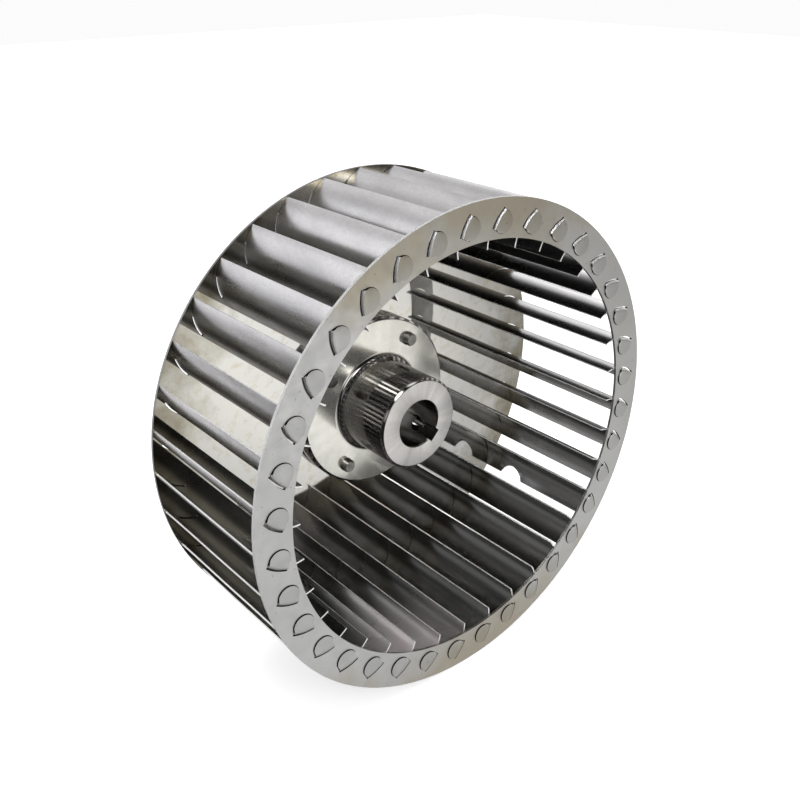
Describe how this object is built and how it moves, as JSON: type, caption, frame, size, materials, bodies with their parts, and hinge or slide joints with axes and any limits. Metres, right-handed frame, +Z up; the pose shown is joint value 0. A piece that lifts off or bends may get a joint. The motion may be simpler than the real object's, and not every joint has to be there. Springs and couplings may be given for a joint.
{
  "type": "centrifugal blower wheel",
  "caption": "Single-inlet squirrel-cage blower wheel: forward-curved sheet blades tabbed into an inlet ring and a back disc, on a flanged hub with a keyed bore.",
  "frame": {"origin": "middle of the wheel's whole box, on the shaft's axis", "axes": "+Y along the shaft's axis, from the inlet towards the back disc; +Z up with the wheel standing on its rim; +X to the right as seen from the inlet"},
  "size_m": [0.2798, 0.1055, 0.2798],
  "materials": {
    "sheet": "satin rolled sheet, light grey",
    "blade_sheet": "bright rolled sheet, satin, cool grey",
    "hub_steel": "turned steel with fine tool marks",
    "screw_steel": "plain steel, slightly dulled"
  },
  "bodies": {
    "root": {"front_ring": "sheet", "back_disc": "sheet", "blade_01": "blade_sheet", "blade_02": "blade_sheet", "blade_03": "blade_sheet", "blade_04": "blade_sheet", "blade_05": "blade_sheet", "blade_06": "blade_sheet", "blade_07": "blade_sheet", "blade_08": "blade_sheet", "blade_09": "blade_sheet", "blade_10": "blade_sheet", "blade_11": "blade_sheet", "blade_12": "blade_sheet", "blade_13": "blade_sheet", "blade_14": "blade_sheet", "blade_15": "blade_sheet", "blade_16": "blade_sheet", "blade_17": "blade_sheet", "blade_18": "blade_sheet", "blade_19": "blade_sheet", "blade_20": "blade_sheet", "blade_21": "blade_sheet", "blade_22": "blade_sheet", "blade_23": "blade_sheet", "blade_24": "blade_sheet", "blade_25": "blade_sheet", "blade_26": "blade_sheet", "blade_27": "blade_sheet", "blade_28": "blade_sheet", "blade_29": "blade_sheet", "blade_30": "blade_sheet", "blade_31": "blade_sheet", "blade_32": "blade_sheet", "blade_33": "blade_sheet", "blade_34": "blade_sheet", "blade_35": "blade_sheet", "blade_36": "blade_sheet", "hub": "hub_steel", "flange_screw_1": "screw_steel", "flange_screw_2": "screw_steel", "flange_screw_3": "screw_steel", "flange_screw_4": "screw_steel"}
  },
  "joints": []
}
